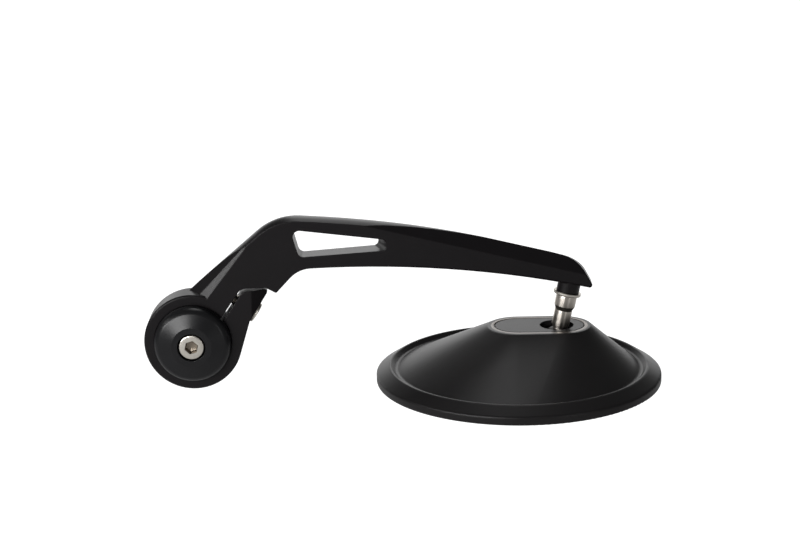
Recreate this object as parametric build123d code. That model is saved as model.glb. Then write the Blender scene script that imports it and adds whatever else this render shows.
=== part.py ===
from build123d import *
from math import acos, asin, atan2, cos, degrees, hypot, radians, sin, sqrt, tan
import os

# Bar end mirror, in millimetres. The handlebar runs along +Y from its end face at y = 0, and +Z is up.
# The arm lies in a plane square to the bar, outboard of its end, with the glass facing down at its tip.

# Cap and clamp ring
cap_radius = 13.0
clamp_clearance = 0.08
ring_wall = 3.5
ring_width = 10.0
ring_setback = 1.0
cap_side = 1.6
cap_shoulder = 2.9
cap_round = 1.8
cap_cone_height = 1.6
cap_land_radius = 6.8
edge_break = 0.5

# Screw through the cap, a metric socket head screw
cap_screw_radius = 2.5
cap_screw_spare = 4.0
cap_head_radius = 4.25
cap_head_height = 5.0
cap_head_recess = 0.2
cap_head_gap = 0.5
cap_hex = 4.0
cap_hex_depth = 2.5
cap_hex_turn = 12.0
shank_gap = 0.25
thread_gap = 0.05

# Plug that grips the inside of the handlebar
plug_radius = 7.0
spigot_length = 3.0
plug_washer_thickness = 1.0
bush_length = 24.0
bush_lip = 0.9
nut_cone_depth = 4.0
nut_length = 9.0
nut_small_radius = 4.6
nut_relief = 0.2

# Arm: a leg that rises from the ring to the elbow, then a long run to the stud boss
arm_thickness = 8.0
leg_angle = 41.5
leg_sink = 2.73
elbow_height = 43.45
elbow_radius = 20.0
top_slope = 2.5
crown_run = 9.8
nose_angle = 60.0
nose_radius = 13.0
tip_radius = 0.9
underside_radius = 360.0
crotch_radius = 10.0
hook_angle = 45.7
hook_radius = 0.6
hook_reach = 11.82
hook_rise = 0.62
arm_edge = 0.5
arm_crown = 1.0

# Facets along the arm's edges
long_facet_start = 58.0
long_facet_drop = 3.8
long_ridge_width = 1.0
leg_facet_stop = 8.5
leg_facet_start = 14.0
leg_side_inset = 3.05
leg_side_depth = 1.5
leg_face_inset = 5.75

# Cut-out in the long run
window_start = 5.2
window_length = 32.0
window_left_cover = 3.96
window_left_base = 4.2
window_end_cover = 5.05
window_end_base = 5.75
window_left_shift = 2.8
window_end_shift = 2.7
window_corner = 2.2
window_end_round = 0.46

# Split, lug and pinch bolt of the clamp
slot_angle = 57.0
slot_offset = 3.5
slot_gap = 1.1
slot_corner = 3.2
lug_length = 7.55
lug_rise = 1.32
lug_corner = 1.2
lug_heel = 0.28
lug_taper_offset = 3.4
lug_taper_angle = 38.0
bolt_margin = 2.6
bolt_radius = 2.0
bolt_engagement = 6.15
bolt_head_radius = 3.5
bolt_head_height = 4.0
bolt_head_sunk = 3.0
bolt_hex = 3.0
bolt_hex_depth = 2.0
bolt_head_gap = 0.25

# Stud boss and ball stud; lean is the stud's angle from upright
boss_x = 127.3
boss_drop = 23.05
boss_cover = 8.75
stud_lean = 10.5
tip_overhang = 8.25
boss_radius = 3.85
boss_length = 3.5
boss_root = 2.0
stud_washer_radius = 4.65
stud_washer_thickness = 1.0
collar_radius = 3.55
collar_length = 4.0
stud_shoulder = 1.3
shaft_radius = 3.0
neck_radius = 2.4
neck_length = 0.3
neck_flare = 1.0
stud_reach = 21.7
ball_radius = 5.5
stud_thread_radius = 2.5
stud_thread_length = 6.0
hole_spare = 0.6

# Mirror head, set at a small tilt on its ball; heights are from the plane of the rim
mirror_radius = 48.5
mirror_offset = 13.0
head_tilt = -1.0
rim_side = 2.8
rim_round = 0.6
brim_width = 4.5
crest_width = 0.5
groove_depth = 1.35
groove_width = 1.05
cone_foot_height = 4.25
oval_length = 35.2
oval_width = 21.0
oval_offset = 5.9
shell_drop = 2.5

# Cover let into the top, and the pocket for the ball below it
cover_band = 2.4
cover_thickness = 1.4
cover_gap = 0.12
cover_edge = 0.25
cover_hole_margin = 0.25
cover_rise = 6.0
peg_radius = 1.2
peg_length = 0.9
peg_inset = 3.2
peg_spacing = 7.0
peg_gap = 0.1
ball_clearance = 0.15
seat_wall = 2.35
seat_gap = 0.08
seat_split = 0.2
seat_top_gap = 0.1
seat_floor = 1.4
seat_drain_radius = 2.0
spring_height = 1.2
spring_thickness = 0.6
spring_width = 4.0
spring_side_gap = 0.6
plate_thickness = 1.2
plate_gap = 0.75
tower_wall = 5.2
plate_hole_radius = 2.5
retainer_count = 3
retainer_radius = 1.25
retainer_head_radius = 2.3
retainer_length = 6.5

# Glass and the pad behind it
rim_wall = 3.3
glass_gap = 0.2
glass_thickness = 1.8
glass_recess = 0.8
glass_curve_radius = 1400.0
pad_thickness = 0.5
pad_width = 4.6

# Places worked out from the sizes above
bore_radius = cap_radius + clamp_clearance
ring_radius = bore_radius + ring_wall
leg_offset = ring_radius - leg_sink
lug_top = ring_radius + lug_rise
lug_taper_start = ring_radius + lug_taper_offset
hook = (ring_radius + hook_reach, ring_radius + hook_rise)
cap_shoulder_radius = cap_radius - cap_round
ring_back = -ring_setback
ring_front = ring_back - ring_width
land_y = ring_front - cap_side - cap_shoulder - cap_cone_height
head_face_y = land_y + cap_head_recess
head_seat_y = head_face_y + cap_head_height
washer_y = spigot_length + plug_washer_thickness
bush_end_y = washer_y + bush_length
nut_end_y = bush_end_y - nut_cone_depth + nut_length
arm_middle_y = ring_front + arm_thickness / 2
bolt_y = ring_front + ring_width / 2
boss_z = elbow_height - boss_drop
stud_axis = Vector(sin(radians(stud_lean)), 0, cos(radians(stud_lean)))
boss_foot = Vector(boss_x, arm_middle_y, boss_z)
boss_end = boss_foot - stud_axis * boss_length
ball_centre = boss_foot - stud_axis * stud_reach
head_place = Pos(ball_centre) * Rot(0, head_tilt, 0)
collar_top = stud_reach - boss_length - stud_washer_thickness
crest_radius = mirror_radius - brim_width
crest_height = cone_foot_height + groove_depth
crest_inner_radius = crest_radius - crest_width
groove_radius = crest_inner_radius - groove_depth
cone_foot_radius = groove_radius - groove_width
glass_opening = mirror_radius - rim_wall
glass_radius = glass_opening - glass_gap
mirror_centre = -mirror_offset
oval_centre = -oval_offset
cover_length = oval_length - 2 * cover_band
cover_width = oval_width - 2 * cover_band
cover_hole_radius = ball_radius + cover_hole_margin
pocket_top = cover_rise - shell_drop
seat_top = pocket_top - seat_top_gap
seat_bore = ball_radius + ball_clearance
seat_radius = seat_bore + seat_wall
spring_outer_radius = seat_radius - spring_side_gap
spring_inner_radius = spring_outer_radius - spring_width
plate_radius = seat_radius + tower_wall
retainer_circle_radius = seat_radius + tower_wall / 2
cup_bottom = -seat_bore - seat_floor
plate_top = cup_bottom - spring_height
glass_top = plate_top - plate_thickness - plate_gap
ledge_height = glass_top + pad_thickness
rim_plane = glass_top - glass_thickness - glass_recess
head_height = cover_rise - rim_plane


def face_plane(depth):
    """Plane of the arm's outline, this far behind the ring's front face: x is +X and y is +Z."""
    return Plane(origin=(0, ring_front + depth, 0), x_dir=(1, 0, 0), z_dir=(0, -1, 0))


def prism(sketch, start, end):
    """Solid between two depths behind the ring's front face."""
    return extrude(face_plane(start) * sketch, amount=start - end)


def plane_through(a, b, c):
    """Plane through three points, with its normal by the right-hand rule."""
    first = Vector(*b) - Vector(*a)
    second = Vector(*c) - Vector(*a)
    return Plane(origin=a, x_dir=first, z_dir=first.cross(second))


def turned(points, axis):
    """Solid of revolution from (radius, height) points, about Y or Z."""
    plane = Plane.XY if axis == Axis.Y else Plane.XZ
    return revolve(plane * make_face(Polyline(*points, close=True)), axis)


def hex_socket(across_flats, depth):
    """Hexagonal prism that rises from its base plane."""
    return extrude(RegularPolygon(across_flats / sqrt(3), 6), amount=depth)


def corner(sketch, place, radius):
    """Round the corner of a sketch that lies nearest to a place."""
    return fillet(sketch.vertices().sort_by_distance((*place, 0))[0], radius)


# Leg coordinates: along the leg's outer edge from the foot of the bar axis, and inset square to it
leg_along = Vector(cos(radians(leg_angle)), sin(radians(leg_angle)))
leg_inward = Vector(leg_along.Y, -leg_along.X)


def leg_point(along, inset):
    point = leg_along * along + leg_inward * (inset - leg_offset)
    return (point.X, point.Y)


def leg_place(along, inset, depth):
    x, z = leg_point(along, inset)
    return (x, ring_front + depth, z)


elbow_along = (elbow_height + leg_offset * leg_inward.Y) / leg_along.Y
elbow = leg_point(elbow_along, 0)
crown_start = elbow[0] + crown_run
leg_facet_end = elbow_along - leg_facet_stop
window_left = elbow[0] + window_start
window_right = window_left + window_length


# Slot coordinates: along the slot, and square to it on the lug's side
slot_along = Vector(cos(radians(slot_angle)), sin(radians(slot_angle)))
slot_square = Vector(slot_along.Y, -slot_along.X)
slot_middle = slot_offset + slot_gap / 2
slot_wall = slot_offset + slot_gap
bolt_along = ring_radius + bolt_margin
bolt_length = lug_length - bolt_head_sunk + slot_gap + bolt_engagement
lug_face = slot_wall + lug_length


def slot_point(along, square):
    point = slot_along * along + slot_square * square
    return (point.X, point.Y)


def slot_at_height(square, height):
    """Point of a line along the slot at a height."""
    along = (height - slot_square.Y * square) / slot_along.Y
    return slot_point(along, square)


lug_right = slot_at_height(lug_face, lug_top)[0]


def underside(x):
    """Height of the long run's underside, an arc that is square to the stud at its boss."""
    centre_x = boss_x - underside_radius * stud_axis.X
    centre_z = boss_z - underside_radius * stud_axis.Z
    return centre_z + sqrt(underside_radius**2 - (x - centre_x) ** 2)


def crown(x):
    """Height of the long run's top: a straight run, then an arc tangent to it that passes over the boss."""
    slope = radians(top_slope)
    start_z = elbow_height - (crown_start - elbow[0]) * tan(slope)
    if x <= crown_start:
        return start_z + (crown_start - x) * tan(slope)
    run = boss_x - crown_start
    fall = start_z - boss_z - boss_cover
    crown_radius = (run**2 + fall**2) / (2 * (fall * cos(slope) - run * sin(slope)))
    centre_x = crown_start - crown_radius * sin(slope)
    centre_z = start_z - crown_radius * cos(slope)
    return centre_z + sqrt(crown_radius**2 - (x - centre_x) ** 2)


def arm_outline():
    """Leg, elbow, long run, nose and hook. It closes inside the ring, the bore and the slot."""
    foot = leg_point(sqrt((bore_radius + ring_wall / 2) ** 2 - leg_offset**2), 0)
    tip_x = boss_x + tip_overhang
    tip = (tip_x, underside(tip_x))
    # The crown falls so gently that two rounds place the corner where the nose meets it
    nose_x = tip_x - (crown(tip_x) - tip[1]) / tan(radians(nose_angle))
    nose_x = tip_x - (crown(nose_x) - tip[1]) / tan(radians(nose_angle))
    nose = (nose_x, tip[1] + (tip_x - nose_x) * tan(radians(nose_angle)))
    crotch_x = hook[0] + (underside(hook[0]) - hook[1]) / tan(radians(hook_angle))
    crotch = (crotch_x, underside(crotch_x))
    notch_height = lug_top + slot_gap
    notch = (lug_right - lug_corner, notch_height)
    inner = slot_at_height(slot_middle, lug_top)
    throat = slot_point(bore_radius * 0.7, slot_middle)
    crown_foot = (crown_start, crown(crown_start))
    crown_middle = (crown_start + nose_x) / 2
    under_middle = (tip_x + crotch_x) / 2
    outline = make_face(
        [
            Line(foot, elbow),
            Line(elbow, crown_foot),
            ThreePointArc(crown_foot, (crown_middle, crown(crown_middle)), nose),
            Line(nose, tip),
            ThreePointArc(tip, (under_middle, underside(under_middle)), crotch),
            Line(crotch, hook),
            Line(hook, notch),
            Polyline(notch, (notch[0] - slot_gap, lug_top + slot_gap / 2), inner, throat, (0, 0), foot),
        ]
    )
    outline = corner(outline, elbow, elbow_radius)
    outline = corner(outline, nose, nose_radius)
    outline = corner(outline, tip, tip_radius)
    outline = corner(outline, crotch, crotch_radius)
    return corner(outline, hook, hook_radius)


def crown_cutter():
    """Waste outside the arm's crowned outer edge, swept from the leg's foot over the elbow to the nose."""
    half = arm_thickness / 2
    tip_x = boss_x + tip_overhang
    crown_foot = (crown_start, crown(crown_start))
    crown_middle = (crown_start + tip_x) / 2
    near_path = FilletPolyline(leg_point(0, 0), elbow, crown_foot, radius=elbow_radius)
    far_path = ThreePointArc(crown_foot, (crown_middle, crown(crown_middle)), (tip_x, crown(tip_x)))
    path = face_plane(half) * Wire(near_path.edges() + far_path.edges())
    start = Plane(leg_place(0, 0, half), x_dir=(0, 1, 0), z_dir=(leg_along.X, 0, leg_along.Y))
    section = make_face(
        [
            ThreePointArc((-half, -arm_crown), (0, 0), (half, -arm_crown)),
            Polyline((half, -arm_crown), (half, arm_crown), (-half, arm_crown), (-half, -arm_crown)),
        ]
    )
    return sweep(start * section, path)


def make_arm():
    bar = prism(arm_outline(), 0, arm_thickness)
    rims = bar.faces().filter_by(Axis.Y)
    bar = chamfer(rims.edges(), arm_edge)
    bar -= crown_cutter()

    # Long facets that widen from the cut-out to the nose, alike on both sides of the arm
    tip_x = boss_x + tip_overhang
    low = crown(tip_x) - long_facet_drop
    facet_depth = (arm_thickness - long_ridge_width) / 2
    for side in (1, -1):
        face_y = arm_middle_y - side * arm_thickness / 2
        back_y = face_y + side * facet_depth
        start = (long_facet_start, face_y, crown(long_facet_start) - arm_crown)
        end = (tip_x, face_y, low)
        ridge = (tip_x, back_y, crown(tip_x))
        facet = plane_through(start, end, ridge)
        bar = split(bar, facet, keep=Keep.BOTTOM if facet.z_dir.Z > 0 else Keep.TOP)

    # Two facets on the leg's outer edge that narrow to nothing at the elbow
    fade = leg_place(leg_facet_end, 0, 0)
    ridge = leg_place(leg_facet_start, leg_side_inset, leg_side_depth)
    back_along = sqrt(ring_radius**2 - leg_offset**2)
    share = (leg_facet_end - leg_facet_start) / (leg_facet_end - back_along)
    outer = leg_place(leg_facet_start, 0, arm_thickness * share)
    inner = leg_place(leg_facet_start, leg_face_inset, 0)
    for facet in (plane_through(fade, ridge, outer), plane_through(fade, ridge, inner)):
        bar = split(bar, facet, keep=Keep.BOTTOM if facet.z_dir.Z > 0 else Keep.TOP)

    ring = turned_ring()
    lug = make_lug()
    boss = Pos(boss_end) * Rot(0, stud_lean, 0) * Cylinder(
        boss_radius, boss_length + boss_root, align=(Align.CENTER, Align.CENTER, Align.MIN)
    )
    arm = bar + ring + lug + boss
    arm -= window_cutter()
    arm -= slot_cutter()
    arm -= Pos(0, ring_front, 0) * Rot(-90, 0, 0) * Cylinder(
        bore_radius, ring_width, align=(Align.CENTER, Align.CENTER, Align.MIN)
    )
    arm -= bolt_cutter()
    hole = Cylinder(
        stud_thread_radius + thread_gap,
        stud_thread_length + hole_spare,
        align=(Align.CENTER, Align.CENTER, Align.MIN),
    )
    return arm - Pos(boss_end) * Rot(0, stud_lean, 0) * hole


def turned_ring():
    """Clamp ring as a solid disc with its outer edges broken; the bore is cut later."""
    return turned(
        [
            (0, ring_front),
            (ring_radius - edge_break, ring_front),
            (ring_radius, ring_front + edge_break),
            (ring_radius, ring_back - edge_break),
            (ring_radius - edge_break, ring_back),
            (0, ring_back),
        ],
        Axis.Y,
    )


def make_lug():
    """Lug beside the split: its right side runs down to touch the ring, and it thins towards its far end."""
    heel = slot_point(ring_radius + lug_heel, lug_face)
    turn = atan2(heel[1], heel[0]) - acos(ring_radius / hypot(*heel))
    tangent = (ring_radius * cos(turn), ring_radius * sin(turn))
    root = slot_point(bore_radius * 0.8, slot_wall)
    shoulder = slot_at_height(slot_wall, lug_top)
    far_top = slot_at_height(lug_face, lug_top)
    outline = make_face(Polyline(root, shoulder, far_top, heel, tangent, (0, 0), close=True))
    outline = corner(outline, shoulder, slot_corner)
    outline = corner(outline, far_top, lug_corner)
    lug = prism(outline, 0, ring_width)
    reach = lug_right - lug_taper_start
    inset = reach * tan(radians(lug_taper_angle))
    for side_sign in (1, -1):
        face_y = bolt_y - side_sign * ring_width / 2
        start = (lug_taper_start, face_y, 0)
        above = (lug_taper_start, face_y, lug_top)
        far = (lug_right, face_y + side_sign * inset, 0)
        taper = plane_through(start, above, far)
        lug = split(lug, taper, keep=Keep.BOTTOM if taper.z_dir.X > 0 else Keep.TOP)
    return lug


def slot_cutter():
    """Split of the clamp: up from the bore, then round the lug's shoulder to the open side."""
    start = slot_point(bore_radius * 0.7, slot_middle)
    middle_height = lug_top + slot_gap / 2
    bend = slot_at_height(slot_middle, middle_height)
    end = (lug_right - lug_corner, middle_height)
    path = FilletPolyline(start, bend, end, radius=slot_corner + slot_gap / 2)
    return prism(trace(path, line_width=slot_gap), -1, ring_width + 1)


def window_profile(depth):
    """Outline of the cut-out at a depth; its far end slants back through the arm."""
    right = window_right - window_end_shift * depth / arm_thickness
    low_x = window_left + window_left_shift
    end_top = crown(window_right) - window_end_cover
    end_floor = underside(window_right) + window_end_base
    top_left = (window_left, crown(window_left) - window_left_cover)
    top_right = (right, end_top)
    low_right = (right, end_floor)
    low_left = (low_x, underside(low_x) + window_left_base)
    end_corner = window_end_round * (end_top - end_floor)
    outline = make_face(Polyline(top_left, top_right, low_right, low_left, close=True))
    outline = corner(outline, top_left, window_corner)
    outline = corner(outline, low_left, window_corner)
    outline = corner(outline, top_right, end_corner)
    return corner(outline, low_right, end_corner)


def window_cutter():
    margin = 1.0
    depths = (-margin, arm_thickness + margin)
    sections = [face_plane(depth) * window_profile(depth) for depth in depths]
    return loft(sections, ruled=True)


def bolt_place():
    """Frame at the lug's bolt face: z runs along the bolt, out of the lug."""
    x, z = slot_point(bolt_along, lug_face)
    outward = (slot_square.X, 0, slot_square.Y)
    return Plane(origin=(x, bolt_y, z), x_dir=(slot_along.X, 0, slot_along.Y), z_dir=outward)


def bolt_cutter():
    """Clearance hole and counterbore in the lug, and the tapped hole beyond the slot."""
    down = (Align.CENTER, Align.CENTER, Align.MAX)
    middle = (Align.CENTER, Align.CENTER, Align.CENTER)
    sink = Cylinder(bolt_head_radius + bolt_head_gap, 2 * bolt_head_sunk, align=middle)
    clear = Cylinder(bolt_radius + shank_gap, lug_length + slot_gap / 2, align=down)
    tapped = Cylinder(
        bolt_radius + thread_gap, bolt_head_sunk + bolt_length + hole_spare, align=down
    )
    return bolt_place() * (sink + clear + tapped)


def make_pinch_bolt():
    seat = -bolt_head_sunk
    bolt = turned(
        [
            (0, seat - bolt_length),
            (bolt_radius, seat - bolt_length),
            (bolt_radius, seat),
            (bolt_head_radius, seat),
            (bolt_head_radius, seat + bolt_head_height - edge_break),
            (bolt_head_radius - edge_break, seat + bolt_head_height),
            (0, seat + bolt_head_height),
        ],
        Axis.Z,
    )
    bolt -= Pos(0, 0, seat + bolt_head_height - bolt_hex_depth) * hex_socket(bolt_hex, bolt_head_height)
    return bolt_place() * bolt


def make_bar_end_cap():
    """Turned cap: a plain body in the clamp, a rounded shoulder, a shallow cone and a flat land."""
    shoulder_y = ring_front - cap_side
    cone_y = shoulder_y - cap_shoulder
    counterbore = cap_head_radius + cap_head_gap
    hole = cap_screw_radius + shank_gap
    section = make_face(
        [
            Polyline((hole, spigot_length), (plug_radius, spigot_length), (plug_radius, 0)),
            Polyline((plug_radius, 0), (cap_radius, 0), (cap_radius, shoulder_y)),
            TangentArc((cap_radius, shoulder_y), (cap_shoulder_radius, cone_y), tangent=(0, -1)),
            Polyline((cap_shoulder_radius, cone_y), (cap_land_radius, land_y), (counterbore, land_y)),
            Polyline((counterbore, land_y), (counterbore, head_seat_y), (hole, head_seat_y)),
            Line((hole, head_seat_y), (hole, spigot_length)),
        ]
    )
    return revolve(section, Axis.Y)


def make_bar_end_screw():
    tip_y = nut_end_y + cap_screw_spare
    screw = turned(
        [
            (0, head_face_y),
            (cap_head_radius - edge_break, head_face_y),
            (cap_head_radius, head_face_y + edge_break),
            (cap_head_radius, head_seat_y),
            (cap_screw_radius, head_seat_y),
            (cap_screw_radius, tip_y - edge_break),
            (cap_screw_radius - edge_break, tip_y),
            (0, tip_y),
        ],
        Axis.Y,
    )
    socket = Plane(origin=(0, head_face_y, 0), x_dir=(1, 0, 0), z_dir=(0, 1, 0))
    return screw - socket * Rot(0, 0, cap_hex_turn) * hex_socket(cap_hex, cap_hex_depth)


def make_expander_washer():
    hole = cap_screw_radius + shank_gap
    return turned(
        [
            (hole, spigot_length),
            (plug_radius, spigot_length),
            (plug_radius, washer_y),
            (hole, washer_y),
        ],
        Axis.Y,
    )


def make_expander_bush():
    """Rubber bush, flared inside at its far end where the nut's cone pulls in."""
    hole = cap_screw_radius + shank_gap
    return turned(
        [
            (hole, washer_y),
            (plug_radius, washer_y),
            (plug_radius, bush_end_y),
            (plug_radius - bush_lip, bush_end_y),
            (nut_small_radius, bush_end_y - nut_cone_depth),
            (hole, bush_end_y - nut_cone_depth),
        ],
        Axis.Y,
    )


def make_expander_nut():
    """Cone nut that is drawn into the bush."""
    hole = cap_screw_radius + thread_gap
    start = bush_end_y - nut_cone_depth
    return turned(
        [
            (hole, start),
            (nut_small_radius, start),
            (plug_radius - bush_lip, bush_end_y),
            (plug_radius - nut_relief, bush_end_y),
            (plug_radius - nut_relief, nut_end_y),
            (hole, nut_end_y),
        ],
        Axis.Y,
    )


def make_ball_stud():
    """Ball, neck, shaft, shoulder, collar and threaded end, along z from the ball's centre."""
    neck_start = sqrt(ball_radius**2 - neck_radius**2)
    neck_end = neck_start + neck_length
    shaft_start = neck_end + neck_flare
    shoulder = collar_top - collar_length
    thread_start = collar_top + stud_washer_thickness
    section = make_face(
        [
            ThreePointArc((0, -ball_radius), (ball_radius, 0), (neck_radius, neck_start)),
            Polyline((neck_radius, neck_start), (neck_radius, neck_end), (shaft_radius, shaft_start)),
            Polyline(
                (shaft_radius, shaft_start),
                (shaft_radius, shoulder - stud_shoulder),
                (collar_radius, shoulder),
                (collar_radius, collar_top),
                (stud_thread_radius, collar_top),
                (stud_thread_radius, thread_start + stud_thread_length),
                (0, thread_start + stud_thread_length),
                (0, -ball_radius),
            ),
        ]
    )
    stud = revolve(Plane.XZ * section, Axis.Z)
    return Pos(ball_centre) * Rot(0, stud_lean, 0) * stud


def make_stud_washer():
    hole = stud_thread_radius + thread_gap
    washer = turned(
        [
            (hole, collar_top),
            (stud_washer_radius, collar_top),
            (stud_washer_radius, collar_top + stud_washer_thickness),
            (hole, collar_top + stud_washer_thickness),
        ],
        Axis.Z,
    )
    return Pos(ball_centre) * Rot(0, stud_lean, 0) * washer


def oval(length, width, height):
    """Stadium outline over the ball pocket's end of the head."""
    return Pos(oval_centre, 0, height) * SlotOverall(length, width)


def head_cone(drop):
    """Flank of the head, lofted from the oval top to the round foot, lowered by drop."""
    straight = (oval_length - oval_width) / 2
    top = cover_rise - drop
    foot = rim_plane + cone_foot_height - drop
    half = oval_width / 2
    top_edges = [
        Line((oval_centre - straight, half), (oval_centre + straight, half)),
        ThreePointArc(
            (oval_centre + straight, half),
            (oval_centre + straight + half, 0),
            (oval_centre + straight, -half),
        ),
        Line((oval_centre + straight, -half), (oval_centre - straight, -half)),
        ThreePointArc(
            (oval_centre - straight, -half),
            (oval_centre - straight - half, 0),
            (oval_centre - straight, half),
        ),
    ]
    # The foot circle is parted where its points answer to the ends of the oval's straight sides
    spread = degrees(asin(straight / cone_foot_radius)) / 2
    starts = (90 + spread, 90 - spread, -90 + spread, -90 - spread)
    sweeps = (-2 * spread, -180 + 2 * spread, -2 * spread, -180 + 2 * spread)
    foot_edges = [
        CenterArc((mirror_centre, 0), cone_foot_radius, start, sweep)
        for start, sweep in zip(starts, sweeps)
    ]
    sections = [Pos(0, 0, foot) * make_face(foot_edges), Pos(0, 0, top) * make_face(top_edges)]
    return loft(sections, ruled=True)


def rim_ring():
    """Turned rim: upright side, brim sloping up to a crest, and the groove behind it at the cone's foot."""
    ledge = ledge_height - rim_plane
    section = make_face(
        Polyline(
            (glass_opening, 0),
            (mirror_radius, 0),
            (mirror_radius, rim_side),
            (crest_radius, crest_height),
            (crest_inner_radius, crest_height),
            (groove_radius, cone_foot_height),
            (cone_foot_radius - pad_width, cone_foot_height),
            (cone_foot_radius - pad_width, ledge),
            (glass_opening, ledge),
            close=True,
        )
    )
    section = corner(section, (mirror_radius, 0), rim_round)
    section = corner(section, (mirror_radius, rim_side), rim_round)
    section = corner(section, (crest_radius, crest_height), rim_round)
    ring = revolve(Plane.XZ * section, Axis.Z)
    return Pos(mirror_centre, 0, rim_plane) * ring


def retainer_places():
    """Points round the ball pocket for the plate's screws."""
    return PolarLocations(retainer_circle_radius, retainer_count)


def make_mirror_housing():
    upward = (Align.CENTER, Align.CENTER, Align.MIN)
    downward = (Align.CENTER, Align.CENTER, Align.MAX)
    cone = head_cone(0)
    cavity = head_cone(shell_drop)
    below_ledge = Pos(mirror_centre, 0, ledge_height) * Cylinder(
        mirror_radius, head_height, align=downward
    )
    shell = cone + rim_ring() - (cavity - below_ledge)
    pocket_depth = pocket_top - plate_top
    housing = shell + Pos(0, 0, plate_top) * Cylinder(plate_radius, pocket_depth, align=upward)
    housing -= Pos(0, 0, pocket_top) * Cylinder(seat_radius + seat_gap, pocket_depth, align=downward)
    housing -= Cylinder(cover_hole_radius, cover_rise, align=upward)
    recess = oval(cover_length + 2 * cover_gap, cover_width + 2 * cover_gap, cover_rise)
    housing -= extrude(recess, amount=-cover_thickness)
    for place in peg_places():
        housing -= place * Cylinder(peg_radius + peg_gap, peg_length + hole_spare, align=downward)
    for place in retainer_places():
        hole = Cylinder(retainer_radius + thread_gap, retainer_length, align=upward)
        housing -= Pos(0, 0, plate_top) * place * hole
    return head_place * housing


def peg_places():
    """Under the cover, on the side of the oval away from the ball."""
    far = oval_centre - cover_length / 2 + peg_inset
    top = cover_rise - cover_thickness
    return [Pos(far, side * peg_spacing / 2, top) for side in (1, -1)]


def make_socket_cover():
    downward = (Align.CENTER, Align.CENTER, Align.MAX)
    cover = extrude(oval(cover_length, cover_width, cover_rise), amount=-cover_thickness)
    cover = chamfer(cover.faces().sort_by(Axis.Z)[-1].edges(), cover_edge)
    for place in peg_places():
        cover += place * Cylinder(peg_radius, peg_length, align=downward)
    cover -= Pos(0, 0, cover_rise) * Cylinder(cover_hole_radius, 2 * cover_thickness)
    return head_place * cover


def seat_section(low, high):
    """Section of a ring between two heights, bored to the ball."""
    low_bore = sqrt(seat_bore**2 - low**2)
    high_bore = sqrt(seat_bore**2 - high**2)
    middle = (low + high) / 2
    return make_face(
        [
            ThreePointArc((low_bore, low), (sqrt(seat_bore**2 - middle**2), middle), (high_bore, high)),
            Polyline((high_bore, high), (seat_radius, high), (seat_radius, low), (low_bore, low)),
        ]
    )


def make_upper_ball_seat():
    section = seat_section(seat_split / 2, seat_top)
    return head_place * revolve(Plane.XZ * section, Axis.Z)


def make_lower_ball_cup():
    drain = -sqrt(seat_bore**2 - seat_drain_radius**2)
    section = seat_section(drain, -seat_split / 2)
    floor = Polyline(
        (seat_drain_radius, drain),
        (seat_radius, drain),
        (seat_radius, cup_bottom),
        (seat_drain_radius, cup_bottom),
        close=True,
    )
    section = section + make_face(floor)
    return head_place * revolve(Plane.XZ * section, Axis.Z)


def make_pressure_spring():
    """Disc spring: a shallow cone of strip between the cup and the plate."""
    spring = turned(
        [
            (spring_outer_radius, plate_top),
            (spring_outer_radius, plate_top + spring_thickness),
            (spring_inner_radius, cup_bottom),
            (spring_inner_radius, cup_bottom - spring_thickness),
        ],
        Axis.Z,
    )
    return head_place * spring


def retainer_screw():
    """Countersunk screw with its head's flat face at the plate's underside."""
    taper = retainer_head_radius - retainer_radius
    return turned(
        [
            (0, -plate_thickness),
            (retainer_head_radius, -plate_thickness),
            (retainer_radius, taper - plate_thickness),
            (retainer_radius, retainer_length - plate_thickness),
            (0, retainer_length - plate_thickness),
        ],
        Axis.Z,
    )


def make_pressure_plate():
    plate = Pos(0, 0, plate_top) * Cylinder(
        plate_radius, plate_thickness, align=(Align.CENTER, Align.CENTER, Align.MAX)
    )
    plate -= Pos(0, 0, plate_top) * Cylinder(plate_hole_radius, 3 * plate_thickness)
    sink = retainer_head_radius + thread_gap
    hole = retainer_radius + thread_gap
    seat = turned(
        [
            (0, -plate_thickness),
            (sink, -plate_thickness),
            (hole, sink - hole - plate_thickness),
            (hole, plate_thickness),
            (0, plate_thickness),
        ],
        Axis.Z,
    )
    for place in retainer_places():
        plate -= Pos(0, 0, plate_top) * place * seat
    return head_place * plate


def make_retainer_screws():
    top = head_place * Pos(0, 0, plate_top)
    return Compound(children=[top * place * retainer_screw() for place in retainer_places()])


def make_glass_pad():
    outer = glass_radius
    inner = glass_radius - pad_width
    pad = turned(
        [(inner, glass_top), (outer, glass_top), (outer, ledge_height), (inner, ledge_height)], Axis.Z
    )
    return head_place * Pos(mirror_centre, 0, 0) * pad


def make_mirror_glass():
    """Convex glass: both faces bow down to the middle, with a flat land under the pad."""
    bow = glass_curve_radius - sqrt(glass_curve_radius**2 - glass_radius**2)
    half = glass_radius / 2
    half_bow = bow - (glass_curve_radius - sqrt(glass_curve_radius**2 - half**2))
    low = glass_top - glass_thickness
    section = make_face(
        [
            ThreePointArc((0, low - bow), (half, low - half_bow), (glass_radius, low)),
            Polyline((glass_radius, low), (glass_radius, glass_top), (0, glass_top), (0, low - bow)),
        ]
    )
    glass = revolve(Plane.XZ * section, Axis.Z)
    return head_place * Pos(mirror_centre, 0, 0) * glass


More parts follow.
